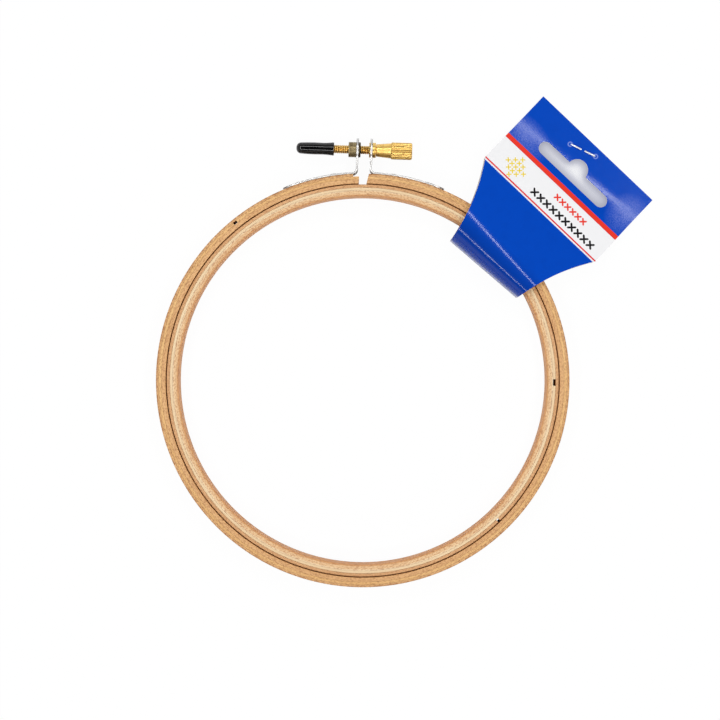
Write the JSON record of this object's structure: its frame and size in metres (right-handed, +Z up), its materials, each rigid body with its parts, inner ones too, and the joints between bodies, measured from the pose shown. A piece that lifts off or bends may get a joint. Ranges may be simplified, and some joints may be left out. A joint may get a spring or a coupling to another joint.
{
  "type": "embroidery hoop",
  "caption": "Round embroidery hoop of laminated wooden strips, with a screw clamp on the outer ring and a printed shop card folded round both rings.",
  "frame": {"origin": "centre of the hoop, on the surface that it lies on", "axes": "+Z up along the hoop's axis, +Y from the centre towards the tightening screw, +X along the screw towards its grip"},
  "size_m": [0.1574, 0.1642, 0.0137],
  "materials": {
    "outer_wood": "sanded, sealed with a thin satin lacquer",
    "outer_core_wood": "sanded edge of the middle strip",
    "inner_bead_wood": "rounded and sanded, pale",
    "inner_outer_wood": "sanded, a little darker than the bead",
    "bracket_steel": "nickel-plated strip, light scuffs",
    "brad_steel": "plated, domed",
    "aged_brass": "turned, browned",
    "screw_brass": "bright, turned and knurled",
    "black_vinyl": "smooth soft vinyl with a dull gloss",
    "printed_card": "coated card, printed on its outside, scuffed at the edges",
    "staple_steel": "zinc-plated wire"
  },
  "bodies": {
    "right_half": {"outer_ring_inner_ply_right": "outer_wood", "outer_ring_middle_ply_right": "outer_core_wood", "outer_ring_outer_ply_right": "outer_wood", "right_bracket": "bracket_steel", "right_bracket_brads": "brad_steel", "screw_bush": "screw_brass"},
    "left_half": {"outer_ring_inner_ply_left": "outer_wood", "outer_ring_middle_ply_left": "outer_core_wood", "outer_ring_outer_ply_left": "outer_wood", "left_bracket": "bracket_steel", "left_bracket_brads": "brad_steel", "clamp_nut": "aged_brass"},
    "inner_ring": {"inner_ring_outer_ply": "inner_outer_wood", "inner_ring_middle_ply": "inner_bead_wood", "inner_ring_inner_ply": "inner_bead_wood"},
    "thumb_screw": {"thumb_screw": "screw_brass"},
    "thread_cap": {"thread_cap": "black_vinyl"},
    "hang_card": {"hang_card": "printed_card", "card_staple": "staple_steel"}
  },
  "joints": [
    {"name": "screw_turn", "type": "hinge", "parent": "right_half", "child": "thumb_screw", "pos_m": [-0.0019, 0.07505, 0.0052], "axis": [1, 0, 0], "range_deg": [-295, 1765]},
    {"name": "ring_flex", "type": "hinge", "parent": "right_half", "child": "left_half", "pos_m": [-0.0019, -0.0654, 0.0052], "axis": [0, 0, 1], "range_deg": [-0.2, 1.2]},
    {"name": "inner_ring_lift", "type": "slide", "parent": "right_half", "child": "inner_ring", "axis": [0, 0, 1], "range_m": [0, 0.003]},
    {"name": "card_slide", "type": "hinge", "parent": "right_half", "child": "hang_card", "pos_m": [0, 0, 0], "axis": [0, 0, 1], "range_deg": [-270, 5]},
    {"name": "cap_pull", "type": "slide", "parent": "thumb_screw", "child": "thread_cap", "axis": [-1, 0, 0], "range_m": [0, 0.014]}
  ],
  "couplings": [
    {"joint": "screw_turn", "follows": "ring_flex", "ratio": 1470.8}
  ]
}
